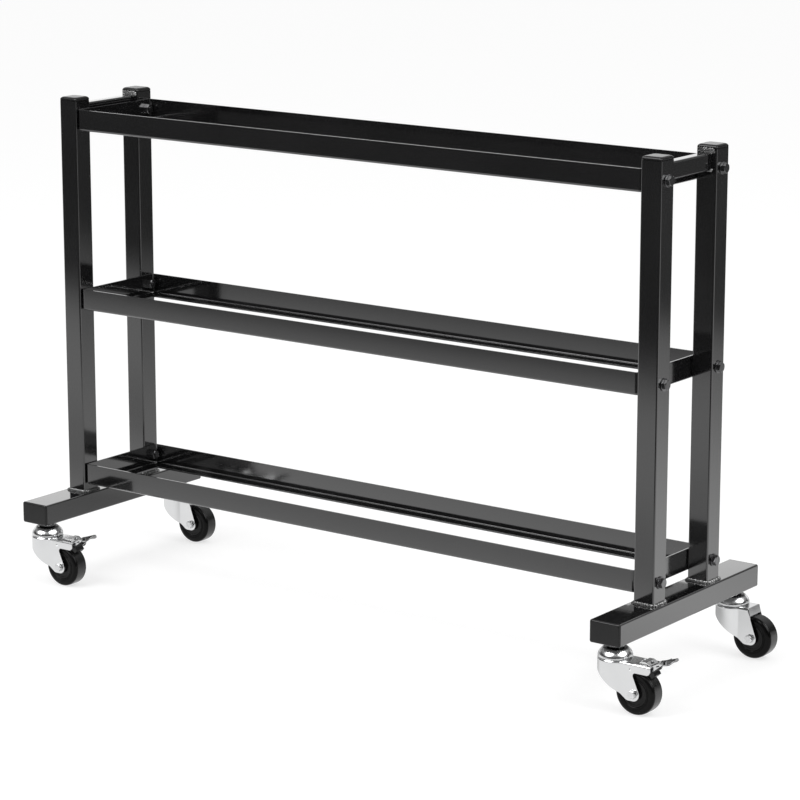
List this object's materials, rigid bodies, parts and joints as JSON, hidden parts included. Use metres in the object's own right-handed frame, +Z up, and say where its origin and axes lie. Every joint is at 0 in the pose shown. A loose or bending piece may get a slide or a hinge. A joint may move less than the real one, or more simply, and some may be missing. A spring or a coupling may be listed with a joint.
{
  "type": "medicine ball cart",
  "caption": "Long rolling rack for medicine balls, with open shelves of black steel angle between two side frames, on swivel casters with foot brakes at the front.",
  "frame": {"origin": "on the floor, at the middle of the part's bounding box seen from above", "axes": "+X along the cart towards the side the casters trail to, +Y from the front to the rear, +Z up"},
  "size_m": [1.4425, 0.458, 0.9239],
  "materials": {
    "black_powder_coat": "gloss black powder coat",
    "black_plastic": "satin black moulded plastic",
    "black_zinc": "black zinc plate",
    "bright_zinc": "bright zinc plate",
    "black_rubber": "smooth black rubber"
  },
  "bodies": {
    "cart_frame": {"left_foot": "black_powder_coat", "left_cross_tube": "black_powder_coat", "right_foot": "black_powder_coat", "right_cross_tube": "black_powder_coat", "left_front_upright": "black_powder_coat", "left_front_upright_cap": "black_plastic", "left_front_foot_cap": "black_plastic", "left_front_caster_stem": "bright_zinc", "left_rear_upright": "black_powder_coat", "left_rear_upright_cap": "black_plastic", "left_rear_foot_cap": "black_plastic", "left_rear_caster_stem": "bright_zinc", "right_front_upright": "black_powder_coat", "right_front_upright_cap": "black_plastic", "right_front_foot_cap": "black_plastic", "right_front_caster_stem": "bright_zinc", "right_rear_upright": "black_powder_coat", "right_rear_upright_cap": "black_plastic", "right_rear_foot_cap": "black_plastic", "right_rear_caster_stem": "bright_zinc", "bottom_shelf_front_rail": "black_powder_coat", "bottom_shelf_rear_rail": "black_powder_coat", "bottom_shelf_left_end": "black_powder_coat", "bottom_shelf_right_end": "black_powder_coat", "bottom_shelf_left_front_bolt": "black_zinc", "bottom_shelf_left_rear_bolt": "black_zinc", "bottom_shelf_right_front_bolt": "black_zinc", "bottom_shelf_right_rear_bolt": "black_zinc", "middle_shelf_front_rail": "black_powder_coat", "middle_shelf_rear_rail": "black_powder_coat", "middle_shelf_left_end": "black_powder_coat", "middle_shelf_right_end": "black_powder_coat", "middle_shelf_left_front_bolt": "black_zinc", "middle_shelf_left_rear_bolt": "black_zinc", "middle_shelf_right_front_bolt": "black_zinc", "middle_shelf_right_rear_bolt": "black_zinc", "top_shelf_front_rail": "black_powder_coat", "top_shelf_rear_rail": "black_powder_coat", "top_shelf_left_end": "black_powder_coat", "top_shelf_right_end": "black_powder_coat", "top_shelf_left_front_bolt": "black_zinc", "top_shelf_left_rear_bolt": "black_zinc", "top_shelf_right_front_bolt": "black_zinc", "top_shelf_right_rear_bolt": "black_zinc"},
    "left_front_fork": {"left_front_caster_fork": "bright_zinc", "left_front_caster_axle": "bright_zinc"},
    "left_front_wheel": {"left_front_caster_wheel": "black_rubber"},
    "left_front_brake": {"left_front_brake_pedal": "bright_zinc", "left_front_brake_shoe": "black_plastic"},
    "left_rear_fork": {"left_rear_caster_fork": "bright_zinc", "left_rear_caster_axle": "bright_zinc"},
    "left_rear_wheel": {"left_rear_caster_wheel": "black_rubber"},
    "right_front_fork": {"right_front_caster_fork": "bright_zinc", "right_front_caster_axle": "bright_zinc"},
    "right_front_wheel": {"right_front_caster_wheel": "black_rubber"},
    "right_front_brake": {"right_front_brake_pedal": "bright_zinc", "right_front_brake_shoe": "black_plastic"},
    "right_rear_fork": {"right_rear_caster_fork": "bright_zinc", "right_rear_caster_axle": "bright_zinc"},
    "right_rear_wheel": {"right_rear_caster_wheel": "black_rubber"}
  },
  "joints": [
    {"name": "left_front_swivel", "type": "hinge", "parent": "cart_frame", "child": "left_front_fork", "pos_m": [-0.69011, -0.193, 0.1186], "axis": [0, 0, 1], "continuous": true},
    {"name": "left_front_wheel_spin", "type": "hinge", "parent": "left_front_fork", "child": "left_front_wheel", "pos_m": [-0.64211, -0.193, 0.0381], "axis": [0, 1, 0], "continuous": true},
    {"name": "left_front_brake_press", "type": "hinge", "parent": "left_front_fork", "child": "left_front_brake", "pos_m": [-0.64791, -0.193, 0.0811], "axis": [0, 1, 0], "range_deg": [0, 6.6]},
    {"name": "left_rear_swivel", "type": "hinge", "parent": "cart_frame", "child": "left_rear_fork", "pos_m": [-0.69011, 0.193, 0.1186], "axis": [0, 0, 1], "continuous": true},
    {"name": "left_rear_wheel_spin", "type": "hinge", "parent": "left_rear_fork", "child": "left_rear_wheel", "pos_m": [-0.64211, 0.193, 0.0381], "axis": [0, 1, 0], "continuous": true},
    {"name": "right_front_swivel", "type": "hinge", "parent": "cart_frame", "child": "right_front_fork", "pos_m": [0.59989, -0.193, 0.1186], "axis": [0, 0, 1], "continuous": true},
    {"name": "right_front_wheel_spin", "type": "hinge", "parent": "right_front_fork", "child": "right_front_wheel", "pos_m": [0.64789, -0.193, 0.0381], "axis": [0, 1, 0], "continuous": true},
    {"name": "right_front_brake_press", "type": "hinge", "parent": "right_front_fork", "child": "right_front_brake", "pos_m": [0.64209, -0.193, 0.0811], "axis": [0, 1, 0], "range_deg": [0, 6.6]},
    {"name": "right_rear_swivel", "type": "hinge", "parent": "cart_frame", "child": "right_rear_fork", "pos_m": [0.59989, 0.193, 0.1186], "axis": [0, 0, 1], "continuous": true},
    {"name": "right_rear_wheel_spin", "type": "hinge", "parent": "right_rear_fork", "child": "right_rear_wheel", "pos_m": [0.64789, 0.193, 0.0381], "axis": [0, 1, 0], "continuous": true}
  ]
}
